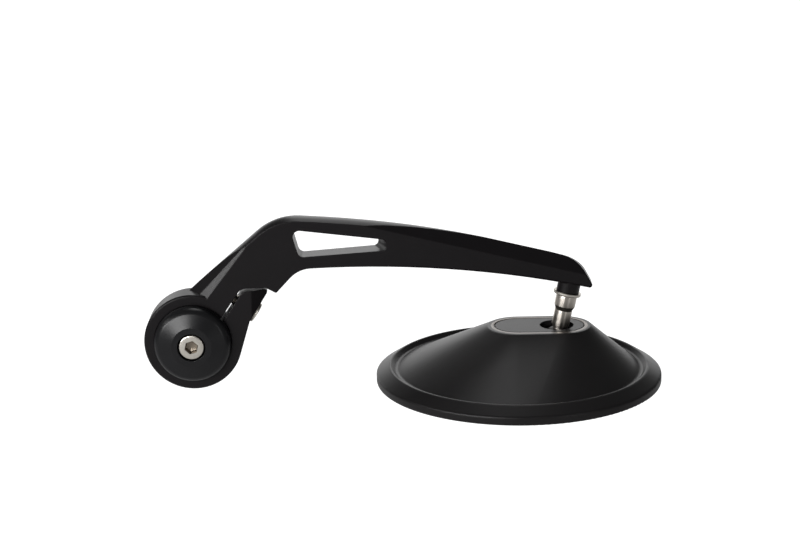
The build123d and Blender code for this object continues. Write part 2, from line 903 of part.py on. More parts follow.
makers = {
    "arm": make_arm,
    "pinch_bolt": make_pinch_bolt,
    "bar_end_cap": make_bar_end_cap,
    "bar_end_screw": make_bar_end_screw,
    "expander_washer": make_expander_washer,
    "expander_bush": make_expander_bush,
    "expander_nut": make_expander_nut,
    "ball_stud": make_ball_stud,
    "stud_washer": make_stud_washer,
    "mirror_housing": make_mirror_housing,
    "socket_cover": make_socket_cover,
    "upper_ball_seat": make_upper_ball_seat,
    "lower_ball_cup": make_lower_ball_cup,
    "pressure_spring": make_pressure_spring,
    "pressure_plate": make_pressure_plate,
    "retainer_screws": make_retainer_screws,
    "glass_pad": make_glass_pad,
    "mirror_glass": make_mirror_glass,
}

os.makedirs("parts", exist_ok=True)
for node, make in makers.items():
    export_step(make(), f"parts/{node}.step")
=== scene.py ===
import bpy
import math
import numpy as np
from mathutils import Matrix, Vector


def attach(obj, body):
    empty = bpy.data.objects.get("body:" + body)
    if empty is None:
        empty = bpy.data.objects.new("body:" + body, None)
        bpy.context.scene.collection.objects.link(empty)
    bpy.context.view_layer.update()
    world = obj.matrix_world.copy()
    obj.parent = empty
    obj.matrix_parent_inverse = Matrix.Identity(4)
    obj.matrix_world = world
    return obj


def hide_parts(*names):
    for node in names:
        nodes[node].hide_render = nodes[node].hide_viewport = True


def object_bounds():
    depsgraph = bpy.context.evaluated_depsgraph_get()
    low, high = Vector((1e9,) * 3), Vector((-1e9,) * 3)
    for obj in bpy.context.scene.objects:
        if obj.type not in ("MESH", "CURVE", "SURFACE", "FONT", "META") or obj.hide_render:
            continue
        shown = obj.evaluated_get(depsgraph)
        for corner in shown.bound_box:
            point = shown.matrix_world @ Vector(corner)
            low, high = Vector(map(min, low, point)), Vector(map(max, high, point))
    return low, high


mm = 0.001
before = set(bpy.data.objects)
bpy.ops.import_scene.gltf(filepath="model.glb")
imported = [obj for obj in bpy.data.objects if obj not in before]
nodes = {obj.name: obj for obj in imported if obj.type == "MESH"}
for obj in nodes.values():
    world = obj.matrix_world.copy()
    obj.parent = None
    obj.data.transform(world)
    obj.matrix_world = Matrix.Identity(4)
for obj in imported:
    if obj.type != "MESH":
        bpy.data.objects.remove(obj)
cadBox = [[float(v) for v in corner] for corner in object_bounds()]
print("frame loaded,", len(nodes), "nodes")


def linear(hexColour):
    # each sRGB channel of a hex colour, taken back to linear light
    channel = np.array([int(hexColour[i:i + 2], 16) for i in (1, 3, 5)]) / 255
    light = np.where(channel <= 0.04045, channel / 12.92, ((channel + 0.055) / 1.055) ** 2.4)
    return (float(light[0]), float(light[1]), float(light[2]), 1.0)


def addNode(tree, kind, settings, links=None):
    # a socket's name or place sets its value, any other name sets the node's own property
    node = tree.nodes.new(kind)
    for name, value in settings.items():
        if isinstance(name, int) or name in node.inputs:
            node.inputs[name].default_value = value
        else:
            setattr(node, name, value)
    for name, source in (links or {}).items():
        tree.links.new(source, node.inputs[name])
    return node


def newMaterial(name):
    material = bpy.data.materials.new(name)
    material.use_nodes = True
    material.node_tree.nodes.clear()
    return material, material.node_tree


def perMetre(sizeInMm):
    # texture scale whose features are about this size
    return 1 / (sizeInMm * mm)


def waveScale(spacingInMm):
    # wave texture scale for lines this far apart: one wave is 2 pi / 20 of its unit
    return 2 * math.pi / (20 * spacingInMm * mm)


# plain stage: a white floor that glows, so the picture's ground stays white. It is left out of the gloss,
# which sees a grey card and a white one under it instead, as round a black product shot on a lit table.
# A sheet's glow goes from its first value to its second over its fade, in millimetres along x
stageSet = {"floorDrop": 70, "roomColour": "#ffffff", "roomLight": 0.18, "paper": "#8c8c8c",
            "glowColour": "#ffffff"}
groundSheets = {
    "floor": {"corner": (-1600, -1600), "far": (1600, 1600), "drop": 0,
              "fade": (-100, 100), "glow": (1.0, 1.0)},
    "greyCard": {"corner": (-420, -900), "far": (700, 260), "drop": 4,
                 "fade": (-60, 140), "glow": (0.31, 0.16)},
    "whiteCard": {"corner": (-190, 290), "far": (1600, 1150), "drop": 4,
                  "fade": (-100, 100), "glow": (0.8, 0.8)},
}

scene = bpy.context.scene
scene.view_settings.view_transform = "Standard"
floorLevel = cadBox[0][2] - stageSet["floorDrop"] * mm
for name, sheet in groundSheets.items():
    (left, front), (right, back) = np.array(sheet["corner"]) * mm, np.array(sheet["far"]) * mm
    level = floorLevel - sheet["drop"] * mm
    sheetMesh = bpy.data.meshes.new(name)
    rectangle = [(left, front, level), (right, front, level), (right, back, level), (left, back, level)]
    sheetMesh.from_pydata(rectangle, [], [(0, 1, 2, 3)])
    ground = bpy.data.objects.new(name, sheetMesh)
    scene.collection.objects.link(ground)
    paper, tree = newMaterial(name + "_paper")  # matt paper under even light
    onPiece = {"Vector": addNode(tree, "ShaderNodeTexCoord", {}).outputs["Object"]}
    across = addNode(tree, "ShaderNodeSeparateXYZ", {}, onPiece)
    fade = addNode(tree, "ShaderNodeMapRange", {
        "From Min": sheet["fade"][0] * mm, "From Max": sheet["fade"][1] * mm,
        "To Min": sheet["glow"][0], "To Max": sheet["glow"][1]}, {"Value": across.outputs["X"]})
    shader = addNode(tree, "ShaderNodeBsdfPrincipled", {
        "Base Color": linear(stageSet["paper"]), "Roughness": 0.95, "Specular IOR Level": 0.05,
        "Emission Color": linear(stageSet["glowColour"])}, {"Emission Strength": fade.outputs["Result"]})
    addNode(tree, "ShaderNodeOutputMaterial", {}, {"Surface": shader.outputs[0]})
    sheetMesh.materials.append(paper)
    ground.visible_glossy = name != "floor"

room = bpy.data.worlds.new("studio")
scene.world = room
room.use_nodes = True
room.node_tree.nodes["Background"].inputs["Color"].default_value = linear(stageSet["roomColour"])
room.node_tree.nodes["Background"].inputs["Strength"].default_value = stageSet["roomLight"]

# soft boxes, in millimetres: each one's glow is its brightness, so its watts follow from its area
softBoxes = {
    "backLow": {"place": (-122, 1480, 200), "aim": (60, 0, 10), "size": (2100, 560), "glow": 1.3},
    "backHigh": {"place": (60, 996, 846), "aim": (60, 0, 10), "size": (460, 1050), "glow": 2.3},
    "overhead": {"place": (30, 380, 1050), "aim": (110, 0, 0), "size": (320, 360), "glow": 3.2},
    "frontLeft": {"place": (-424, -812, 294), "aim": (20, 0, 10), "size": (560, 300), "glow": 15.5},
    "sideLeft": {"place": (-667, -518, 243), "aim": (20, 0, 20), "size": (200, 150), "glow": 24.0},
    "rightStrip": {"place": (623, -746, 150), "aim": (110, 0, 10), "size": (90, 380), "glow": 5.0},
    "farLeft": {"place": (-950, -150, 520), "aim": (0, 0, 0), "size": (300, 200), "glow": 5.0},
}
for name, box in softBoxes.items():
    wide, high = box["size"][0] * mm, box["size"][1] * mm
    lamp = bpy.data.lights.new(name, "AREA")
    lamp.shape = "RECTANGLE"
    lamp.size = wide
    lamp.size_y = high
    lamp.energy = math.pi * wide * high * box["glow"]
    lampObject = bpy.data.objects.new(name, lamp)
    scene.collection.objects.link(lampObject)
    place = np.array(box["place"]) * mm
    beam = np.array(box["aim"]) * mm - place
    lampObject.location = place
    raised = math.acos(-beam[2] / np.linalg.norm(beam))
    lampObject.rotation_euler = (raised, 0, math.atan2(beam[1], beam[0]) - math.pi / 2)
    lampObject.visible_camera = False
print("stage and", len(softBoxes), "soft boxes")

# the picture's view: from 15.3 degrees above, 2010 px of focal length on a frame 800 px wide
view = {"place": (70.03, -660.11, 204.23), "lookDown": 15.3, "focalPixels": 2010.0, "frameWidth": 800,
        "sensor": 36.0, "nearest": 10}
lens = bpy.data.cameras.new("camera")
lens.sensor_width = view["sensor"]
lens.lens = view["focalPixels"] / view["frameWidth"] * lens.sensor_width
lens.clip_start = view["nearest"] * mm
camera = bpy.data.objects.new("camera", lens)
scene.collection.objects.link(camera)
camera.location = [v * mm for v in view["place"]]
camera.rotation_euler = (math.radians(90 - view["lookDown"]), 0, 0)
scene.camera = camera

# each finish mixes two shades by a pattern, and most vary their roughness too, so none is one flat colour

# polyester powder coat on cast aluminium, sprayed and baked: near black, satin, with a fine orange peel
armCoat = {"dark": "#080607", "light": "#0c0a0c", "rough": (0.27, 0.4),
           "cloud": 9, "peel": 0.7, "grain": 0.16, "edge": 0.55}
satinCoat, tree = newMaterial("satin_powder_coat")
onPiece = {"Vector": addNode(tree, "ShaderNodeTexCoord", {}).outputs["Object"]}
cloud = addNode(tree, "ShaderNodeTexNoise", {"Scale": perMetre(armCoat["cloud"]), "Detail": 3.0}, onPiece)
peel = addNode(tree, "ShaderNodeTexNoise", {"Scale": perMetre(armCoat["peel"]), "Detail": 2.0}, onPiece)
grain = addNode(tree, "ShaderNodeTexNoise", {"Scale": perMetre(armCoat["grain"]), "Detail": 1.0}, onPiece)
softEdge = addNode(tree, "ShaderNodeBevel", {"samples": 4, "Radius": armCoat["edge"] * mm})
waves = addNode(tree, "ShaderNodeBump", {"Strength": 0.16, "Distance": 0.05 * mm},
                {"Height": peel.outputs["Fac"], "Normal": softEdge.outputs["Normal"]})
grit = addNode(tree, "ShaderNodeBump", {"Strength": 0.22, "Distance": 0.03 * mm},
               {"Height": grain.outputs["Fac"], "Normal": waves.outputs["Normal"]})
tint = addNode(tree, "ShaderNodeMixRGB", {
    "Color1": linear(armCoat["dark"]), "Color2": linear(armCoat["light"])},
    {"Fac": cloud.outputs["Fac"]})
rough = addNode(tree, "ShaderNodeMapRange", {
    "To Min": armCoat["rough"][0], "To Max": armCoat["rough"][1]}, {"Value": grain.outputs["Fac"]})
shader = addNode(tree, "ShaderNodeBsdfPrincipled", {"IOR": 1.5, "Specular IOR Level": 0.2}, {
    "Base Color": tint.outputs["Color"], "Roughness": rough.outputs["Result"],
    "Normal": grit.outputs["Normal"]})
addNode(tree, "ShaderNodeOutputMaterial", {}, {"Surface": shader.outputs[0]})

# ball joint: the ball's centre in millimetres, and how far the stud and the head lean about y, in degrees
ballJoint = {"centre": (123.345, -7.0, -0.937), "studLean": 10.5, "headTilt": -1.0}

# the same coat on the spun housing, a shade flatter and smoother. A stripe round the cover is a painted
# highlight, a light metallic grey standing in for the glint along the oval's edge: stripe says where it fades
# in and out, in millimetres from the middle run of the oval. That distance is the length of what is left of x
# past the run's end, and y, with the height flattened out
shellCoat = {"dark": "#0d0c0d", "paintedGlint": "#807a75", "mottle": 0.013, "rough": (0.33, 0.4),
             "cloud": 14, "peel": 1.1, "edge": 1.0,
             "ovalMiddle": -5.9, "ovalRun": 7.1, "stripe": (8.1, 8.3, 9.2, 9.5),
             "glintLevel": 0.75, "flatten": 1000}
tilt = math.radians(ballJoint["headTilt"])
headAxis = (math.sin(tilt), 0, math.cos(tilt))
headSide = np.array((math.cos(tilt), 0, -math.sin(tilt)))
mattCoat, tree = newMaterial("matt_powder_coat")
onPiece = {"Vector": addNode(tree, "ShaderNodeTexCoord", {}).outputs["Object"]}
cloud = addNode(tree, "ShaderNodeTexNoise", {"Scale": perMetre(shellCoat["cloud"]), "Detail": 3.0}, onPiece)
peel = addNode(tree, "ShaderNodeTexNoise", {"Scale": perMetre(shellCoat["peel"]), "Detail": 2.0}, onPiece)
ovalCentre = np.array(ballJoint["centre"]) + shellCoat["ovalMiddle"] * headSide
fromOval = addNode(tree, "ShaderNodeMapping", {
    "vector_type": "TEXTURE", "Location": ovalCentre * mm, "Rotation": (0, tilt, 0),
    "Scale": (1, 1, shellCoat["flatten"])}, onPiece)
folded = addNode(tree, "ShaderNodeVectorMath", {"operation": "ABSOLUTE"},
                 {"Vector": fromOval.outputs["Vector"]})
beyond = addNode(tree, "ShaderNodeVectorMath", {
    "operation": "SUBTRACT", 1: (shellCoat["ovalRun"] * mm, 0, 0)}, {"Vector": folded.outputs["Vector"]})
clipped = addNode(tree, "ShaderNodeVectorMath", {"operation": "MAXIMUM", 1: (0, 0, 0)},
                  {"Vector": beyond.outputs["Vector"]})
reach = addNode(tree, "ShaderNodeVectorMath", {"operation": "LENGTH"},
                {"Vector": clipped.outputs["Vector"]})
fadeOut = addNode(tree, "ShaderNodeMapRange", {
    "From Min": shellCoat["stripe"][2] * mm, "From Max": shellCoat["stripe"][3] * mm,
    "To Min": shellCoat["glintLevel"], "To Max": 0.0}, {"Value": reach.outputs["Value"]})
# painted highlight: the stripe's mask, which lightens the coat's colour and makes it metallic
paintedGlintMask = addNode(tree, "ShaderNodeMapRange", {
    "From Min": shellCoat["stripe"][0] * mm, "From Max": shellCoat["stripe"][1] * mm},
    {"Value": reach.outputs["Value"], "To Max": fadeOut.outputs["Result"]})
mottle = addNode(tree, "ShaderNodeMapRange", {"To Max": shellCoat["mottle"]},
                 {"Value": cloud.outputs["Fac"]})
tone = addNode(tree, "ShaderNodeMapRange", {}, {
    "Value": paintedGlintMask.outputs["Result"], "To Min": mottle.outputs["Result"]})
softEdge = addNode(tree, "ShaderNodeBevel", {"samples": 8, "Radius": shellCoat["edge"] * mm})
waves = addNode(tree, "ShaderNodeBump", {"Strength": 0.1, "Distance": 0.04 * mm},
                {"Height": peel.outputs["Fac"], "Normal": softEdge.outputs["Normal"]})
tint = addNode(tree, "ShaderNodeMixRGB", {
    "Color1": linear(shellCoat["dark"]), "Color2": linear(shellCoat["paintedGlint"])},
    {"Fac": tone.outputs["Result"]})
rough = addNode(tree, "ShaderNodeMapRange", {
    "To Min": shellCoat["rough"][0], "To Max": shellCoat["rough"][1]}, {"Value": cloud.outputs["Fac"]})
shader = addNode(tree, "ShaderNodeBsdfPrincipled", {"IOR": 1.5, "Specular IOR Level": 0.19}, {
    "Base Color": tint.outputs["Color"], "Metallic": paintedGlintMask.outputs["Result"],
    "Roughness": rough.outputs["Result"], "Normal": waves.outputs["Normal"]})
addNode(tree, "ShaderNodeOutputMaterial", {}, {"Surface": shader.outputs[0]})

# black anodised aluminium, turned: smoother than the coat, with fine rings about the bar's axis, drawn
# coarser than a real finishing cut so that they show
capFinish = {"dark": "#09090a", "light": "#0e0e10", "rough": (0.27, 0.34),
             "rings": 0.35, "cloud": 5, "edge": 0.25}
blackAnodised, tree = newMaterial("black_anodised_aluminium")
onPiece = {"Vector": addNode(tree, "ShaderNodeTexCoord", {}).outputs["Object"]}
rings = addNode(tree, "ShaderNodeTexWave", {
    "wave_type": "RINGS", "rings_direction": "Y", "Scale": waveScale(capFinish["rings"]),
    "Distortion": 0.4, "Detail": 1.0}, onPiece)
cloud = addNode(tree, "ShaderNodeTexNoise", {"Scale": perMetre(capFinish["cloud"]), "Detail": 3.0}, onPiece)
softEdge = addNode(tree, "ShaderNodeBevel", {"samples": 4, "Radius": capFinish["edge"] * mm})
cut = addNode(tree, "ShaderNodeBump", {"Strength": 0.08, "Distance": 0.02 * mm},
              {"Height": rings.outputs["Fac"], "Normal": softEdge.outputs["Normal"]})
tint = addNode(tree, "ShaderNodeMixRGB", {
    "Color1": linear(capFinish["dark"]), "Color2": linear(capFinish["light"])},
    {"Fac": cloud.outputs["Fac"]})
rough = addNode(tree, "ShaderNodeMapRange", {
    "To Min": capFinish["rough"][0], "To Max": capFinish["rough"][1]}, {"Value": rings.outputs["Fac"]})
shader = addNode(tree, "ShaderNodeBsdfPrincipled", {"IOR": 1.5, "Specular IOR Level": 0.25}, {
    "Base Color": tint.outputs["Color"], "Roughness": rough.outputs["Result"],
    "Normal": cut.outputs["Normal"]})
addNode(tree, "ShaderNodeOutputMaterial", {}, {"Surface": shader.outputs[0]})

# glass-filled nylon, moulded and lightly polished: a grey satin plate
coverFinish = {"dark": "#171617", "light": "#1e1d1e", "rough": (0.36, 0.46), "grain": 0.25, "edge": 0.2}
greyNylon, tree = newMaterial("satin_grey_nylon")
onPiece = {"Vector": addNode(tree, "ShaderNodeTexCoord", {}).outputs["Object"]}
grain = addNode(tree, "ShaderNodeTexNoise", {"Scale": perMetre(coverFinish["grain"]), "Detail": 2.0}, onPiece)
softEdge = addNode(tree, "ShaderNodeBevel", {"samples": 4, "Radius": coverFinish["edge"] * mm})
grit = addNode(tree, "ShaderNodeBump", {"Strength": 0.12, "Distance": 0.02 * mm},
               {"Height": grain.outputs["Fac"], "Normal": softEdge.outputs["Normal"]})
tint = addNode(tree, "ShaderNodeMixRGB", {
    "Color1": linear(coverFinish["dark"]), "Color2": linear(coverFinish["light"])},
    {"Fac": grain.outputs["Fac"]})
rough = addNode(tree, "ShaderNodeMapRange", {
    "To Min": coverFinish["rough"][0], "To Max": coverFinish["rough"][1]}, {"Value": grain.outputs["Fac"]})
shader = addNode(tree, "ShaderNodeBsdfPrincipled", {"IOR": 1.53, "Specular IOR Level": 0.175}, {
    "Base Color": tint.outputs["Color"], "Roughness": rough.outputs["Result"],
    "Normal": grit.outputs["Normal"]})
addNode(tree, "ShaderNodeOutputMaterial", {}, {"Surface": shader.outputs[0]})

# stainless steel, cold headed: warm white metal with a faint drawn grain
screwSteel = {"dark": "#bdb8af", "light": "#e2ddd4", "rough": (0.24, 0.36), "grain": 0.5}
headedSteel, tree = newMaterial("headed_stainless_steel")
onPiece = {"Vector": addNode(tree, "ShaderNodeTexCoord", {}).outputs["Object"]}
grain = addNode(tree, "ShaderNodeTexNoise", {"Scale": perMetre(screwSteel["grain"]), "Detail": 4.0}, onPiece)
dents = addNode(tree, "ShaderNodeBump", {"Strength": 0.3, "Distance": 0.04 * mm},
                {"Height": grain.outputs["Fac"]})
tint = addNode(tree, "ShaderNodeMixRGB", {
    "Color1": linear(screwSteel["dark"]), "Color2": linear(screwSteel["light"])},
    {"Fac": grain.outputs["Fac"]})
rough = addNode(tree, "ShaderNodeMapRange", {
    "To Min": screwSteel["rough"][0], "To Max": screwSteel["rough"][1]}, {"Value": grain.outputs["Fac"]})
shader = addNode(tree, "ShaderNodeBsdfPrincipled", {"Metallic": 1.0}, {
    "Base Color": tint.outputs["Color"], "Roughness": rough.outputs["Result"],
    "Normal": dents.outputs["Normal"]})
addNode(tree, "ShaderNodeOutputMaterial", {}, {"Surface": shader.outputs[0]})

# the same steel inside the sockets, which are broached: darker and brownish, as painted shade in the recess
socketSteel = {"dark": "#5f564c", "light": "#a3988a", "rough": (0.25, 0.45), "grain": 0.4}
socketShadeSteel, tree = newMaterial("stainless_steel_socket_shade")
onPiece = {"Vector": addNode(tree, "ShaderNodeTexCoord", {}).outputs["Object"]}
grain = addNode(tree, "ShaderNodeTexNoise", {"Scale": perMetre(socketSteel["grain"]), "Detail": 4.0}, onPiece)
tint = addNode(tree, "ShaderNodeMixRGB", {
    "Color1": linear(socketSteel["dark"]), "Color2": linear(socketSteel["light"])},
    {"Fac": grain.outputs["Fac"]})
rough = addNode(tree, "ShaderNodeMapRange", {
    "To Min": socketSteel["rough"][0], "To Max": socketSteel["rough"][1]}, {"Value": grain.outputs["Fac"]})
shader = addNode(tree, "ShaderNodeBsdfPrincipled", {"Metallic": 1.0}, {
    "Base Color": tint.outputs["Color"], "Roughness": rough.outputs["Result"]})
addNode(tree, "ShaderNodeOutputMaterial", {}, {"Surface": shader.outputs[0]})

# stainless steel, turned: fine lathe lines round the stud draw its glints out into upright stripes.
# The lines are drawn coarser than real ones, which are too fine to show
studSteel = {"dark": "#c9c2b9", "light": "#e6dfd6", "rough": (0.26, 0.32), "lines": 0.22}
lean = math.radians(ballJoint["studLean"])
studAxis = (math.sin(lean), 0, math.cos(lean))
turnedSteel, tree = newMaterial("turned_stainless_steel")
onPiece = {"Vector": addNode(tree, "ShaderNodeTexCoord", {}).outputs["Object"]}
along = addNode(tree, "ShaderNodeMapping", {
    "vector_type": "TEXTURE", "Location": [v * mm for v in ballJoint["centre"]],
    "Rotation": (0, lean, 0)}, onPiece)
lines = addNode(tree, "ShaderNodeTexWave", {
    "wave_type": "BANDS", "bands_direction": "Z", "Scale": waveScale(studSteel["lines"]),
    "Distortion": 0.3, "Detail": 1.0}, {"Vector": along.outputs["Vector"]})
cut = addNode(tree, "ShaderNodeBump", {"Strength": 0.06, "Distance": 0.02 * mm},
              {"Height": lines.outputs["Fac"]})
upright = addNode(tree, "ShaderNodeVectorTransform", {
    "vector_type": "VECTOR", "convert_from": "OBJECT", "convert_to": "WORLD", "Vector": studAxis})
tint = addNode(tree, "ShaderNodeMixRGB", {
    "Color1": linear(studSteel["dark"]), "Color2": linear(studSteel["light"])},
    {"Fac": lines.outputs["Fac"]})
rough = addNode(tree, "ShaderNodeMapRange", {
    "To Min": studSteel["rough"][0], "To Max": studSteel["rough"][1]}, {"Value": lines.outputs["Fac"]})
shader = addNode(tree, "ShaderNodeBsdfPrincipled", {"Metallic": 1.0, "Anisotropic": 0.92}, {
    "Base Color": tint.outputs["Color"], "Roughness": rough.outputs["Result"],
    "Normal": cut.outputs["Normal"], "Tangent": upright.outputs["Vector"]})
addNode(tree, "ShaderNodeOutputMaterial", {}, {"Surface": shader.outputs[0]})

# the ball and the stud's shoulder: painted shade, steel painted nearly black and dull where it sits in shade
paintedShadeFinish = {"dark": "#14120f", "light": "#24211d", "rough": (0.35, 0.5), "blotch": 1.2}
paintedShadeSteel, tree = newMaterial("painted_shade_steel")
onPiece = {"Vector": addNode(tree, "ShaderNodeTexCoord", {}).outputs["Object"]}
blotch = addNode(tree, "ShaderNodeTexNoise", {"Scale": perMetre(paintedShadeFinish["blotch"]), "Detail": 3.0}, onPiece)
tint = addNode(tree, "ShaderNodeMixRGB", {
    "Color1": linear(paintedShadeFinish["dark"]), "Color2": linear(paintedShadeFinish["light"])},
    {"Fac": blotch.outputs["Fac"]})
rough = addNode(tree, "ShaderNodeMapRange", {
    "To Min": paintedShadeFinish["rough"][0], "To Max": paintedShadeFinish["rough"][1]}, {"Value": blotch.outputs["Fac"]})
shader = addNode(tree, "ShaderNodeBsdfPrincipled", {"IOR": 1.47, "Specular IOR Level": 0.3}, {
    "Base Color": tint.outputs["Color"], "Roughness": rough.outputs["Result"]})
addNode(tree, "ShaderNodeOutputMaterial", {}, {"Surface": shader.outputs[0]})

# zinc plated steel: cool grey with a cloudy dull shine
zincSteel = {"dark": "#7d8285", "light": "#a9adae", "rough": (0.3, 0.45), "cloud": 2.2}
platedSteel, tree = newMaterial("zinc_plated_steel")
onPiece = {"Vector": addNode(tree, "ShaderNodeTexCoord", {}).outputs["Object"]}
cloud = addNode(tree, "ShaderNodeTexNoise", {"Scale": perMetre(zincSteel["cloud"]), "Detail": 5.0}, onPiece)
dents = addNode(tree, "ShaderNodeBump", {"Strength": 0.1, "Distance": 0.02 * mm},
                {"Height": cloud.outputs["Fac"]})
tint = addNode(tree, "ShaderNodeMixRGB", {
    "Color1": linear(zincSteel["dark"]), "Color2": linear(zincSteel["light"])},
    {"Fac": cloud.outputs["Fac"]})
rough = addNode(tree, "ShaderNodeMapRange", {
    "To Min": zincSteel["rough"][0], "To Max": zincSteel["rough"][1]}, {"Value": cloud.outputs["Fac"]})
shader = addNode(tree, "ShaderNodeBsdfPrincipled", {"Metallic": 1.0}, {
    "Base Color": tint.outputs["Color"], "Roughness": rough.outputs["Result"],
    "Normal": dents.outputs["Normal"]})
addNode(tree, "ShaderNodeOutputMaterial", {}, {"Surface": shader.outputs[0]})

# moulded neoprene: dull black with a dusty bloom
bushRubber = {"dark": "#151515", "light": "#232222", "rough": (0.6, 0.8), "grain": 0.4, "bloom": 6}
neoprene, tree = newMaterial("moulded_neoprene")
onPiece = {"Vector": addNode(tree, "ShaderNodeTexCoord", {}).outputs["Object"]}
grain = addNode(tree, "ShaderNodeTexNoise", {"Scale": perMetre(bushRubber["grain"]), "Detail": 4.0}, onPiece)
bloom = addNode(tree, "ShaderNodeTexNoise", {"Scale": perMetre(bushRubber["bloom"]), "Detail": 4.0}, onPiece)
grit = addNode(tree, "ShaderNodeBump", {"Strength": 0.3, "Distance": 0.05 * mm},
               {"Height": grain.outputs["Fac"]})
tint = addNode(tree, "ShaderNodeMixRGB", {
    "Color1": linear(bushRubber["dark"]), "Color2": linear(bushRubber["light"])},
    {"Fac": bloom.outputs["Fac"]})
rough = addNode(tree, "ShaderNodeMapRange", {
    "To Min": bushRubber["rough"][0], "To Max": bushRubber["rough"][1]}, {"Value": bloom.outputs["Fac"]})
shader = addNode(tree, "ShaderNodeBsdfPrincipled", {"IOR": 1.52, "Specular IOR Level": 0.35}, {
    "Base Color": tint.outputs["Color"], "Roughness": rough.outputs["Result"],
    "Normal": grit.outputs["Normal"]})
addNode(tree, "ShaderNodeOutputMaterial", {}, {"Surface": shader.outputs[0]})

# acetal, turned from black rod: dark and slightly waxy, with lathe lines drawn coarser than real ones
seatAcetal = {"dark": "#0c0c0d", "light": "#151516", "lines": 0.3}
acetal, tree = newMaterial("black_acetal")
onPiece = {"Vector": addNode(tree, "ShaderNodeTexCoord", {}).outputs["Object"]}
lines = addNode(tree, "ShaderNodeTexWave", {
    "wave_type": "BANDS", "bands_direction": "Z", "Scale": waveScale(seatAcetal["lines"]),
    "Distortion": 1.0}, onPiece)
cut = addNode(tree, "ShaderNodeBump", {"Strength": 0.08, "Distance": 0.02 * mm},
              {"Height": lines.outputs["Fac"]})
tint = addNode(tree, "ShaderNodeMixRGB", {
    "Color1": linear(seatAcetal["dark"]), "Color2": linear(seatAcetal["light"])},
    {"Fac": lines.outputs["Fac"]})
shader = addNode(tree, "ShaderNodeBsdfPrincipled", {"IOR": 1.48, "Roughness": 0.42}, {
    "Base Color": tint.outputs["Color"], "Normal": cut.outputs["Normal"]})
addNode(tree, "ShaderNodeOutputMaterial", {}, {"Surface": shader.outputs[0]})

# closed-cell foam tape: dark grey, pitted
padFoam = {"dark": "#1d1d1e", "light": "#37373a", "cell": 0.5}
foamTape, tree = newMaterial("closed_cell_foam")
onPiece = {"Vector": addNode(tree, "ShaderNodeTexCoord", {}).outputs["Object"]}
cells = addNode(tree, "ShaderNodeTexVoronoi", {"Scale": perMetre(padFoam["cell"])}, onPiece)
pits = addNode(tree, "ShaderNodeBump", {"Strength": 0.4, "Distance": 0.1 * mm},
               {"Height": cells.outputs["Distance"]})
tint = addNode(tree, "ShaderNodeMixRGB", {
    "Color1": linear(padFoam["dark"]), "Color2": linear(padFoam["light"])},
    {"Fac": cells.outputs["Distance"]})
shader = addNode(tree, "ShaderNodeBsdfPrincipled", {"Roughness": 0.9, "Specular IOR Level": 0.2}, {
    "Base Color": tint.outputs["Color"], "Normal": pits.outputs["Normal"]})
addNode(tree, "ShaderNodeOutputMaterial", {}, {"Surface": shader.outputs[0]})

# silvered glass: a clear bright reflection with the faintest haze of handling
glassFinish = {"dark": "#e3e9ea", "light": "#edf1f1", "rough": (0.015, 0.04), "haze": 12}
silveredGlass, tree = newMaterial("silvered_glass")
onPiece = {"Vector": addNode(tree, "ShaderNodeTexCoord", {}).outputs["Object"]}
haze = addNode(tree, "ShaderNodeTexNoise", {"Scale": perMetre(glassFinish["haze"]), "Detail": 4.0}, onPiece)
tint = addNode(tree, "ShaderNodeMixRGB", {
    "Color1": linear(glassFinish["dark"]), "Color2": linear(glassFinish["light"])},
    {"Fac": haze.outputs["Fac"]})
rough = addNode(tree, "ShaderNodeMapRange", {
    "To Min": glassFinish["rough"][0], "To Max": glassFinish["rough"][1]}, {"Value": haze.outputs["Fac"]})
shader = addNode(tree, "ShaderNodeBsdfPrincipled", {
    "Metallic": 1.0, "Coat Weight": 0.3, "Coat Roughness": 0.02}, {
    "Base Color": tint.outputs["Color"], "Roughness": rough.outputs["Result"]})
addNode(tree, "ShaderNodeOutputMaterial", {}, {"Surface": shader.outputs[0]})

finishes = {
    "arm": satinCoat, "bar_end_cap": blackAnodised, "mirror_housing": mattCoat, "socket_cover": greyNylon,
    "expander_washer": platedSteel, "expander_nut": platedSteel, "pressure_spring": platedSteel,
    "pressure_plate": platedSteel, "retainer_screws": platedSteel,
    "upper_ball_seat": acetal, "lower_ball_cup": acetal, "glass_pad": foamTape,
}
for name, material in finishes.items():
    nodes[name].data.materials.clear()
    nodes[name].data.materials.append(material)
print(len(finishes), "nodes finished")


sharpAngle = math.radians(32)  # edges that turn by more than this stay crisp


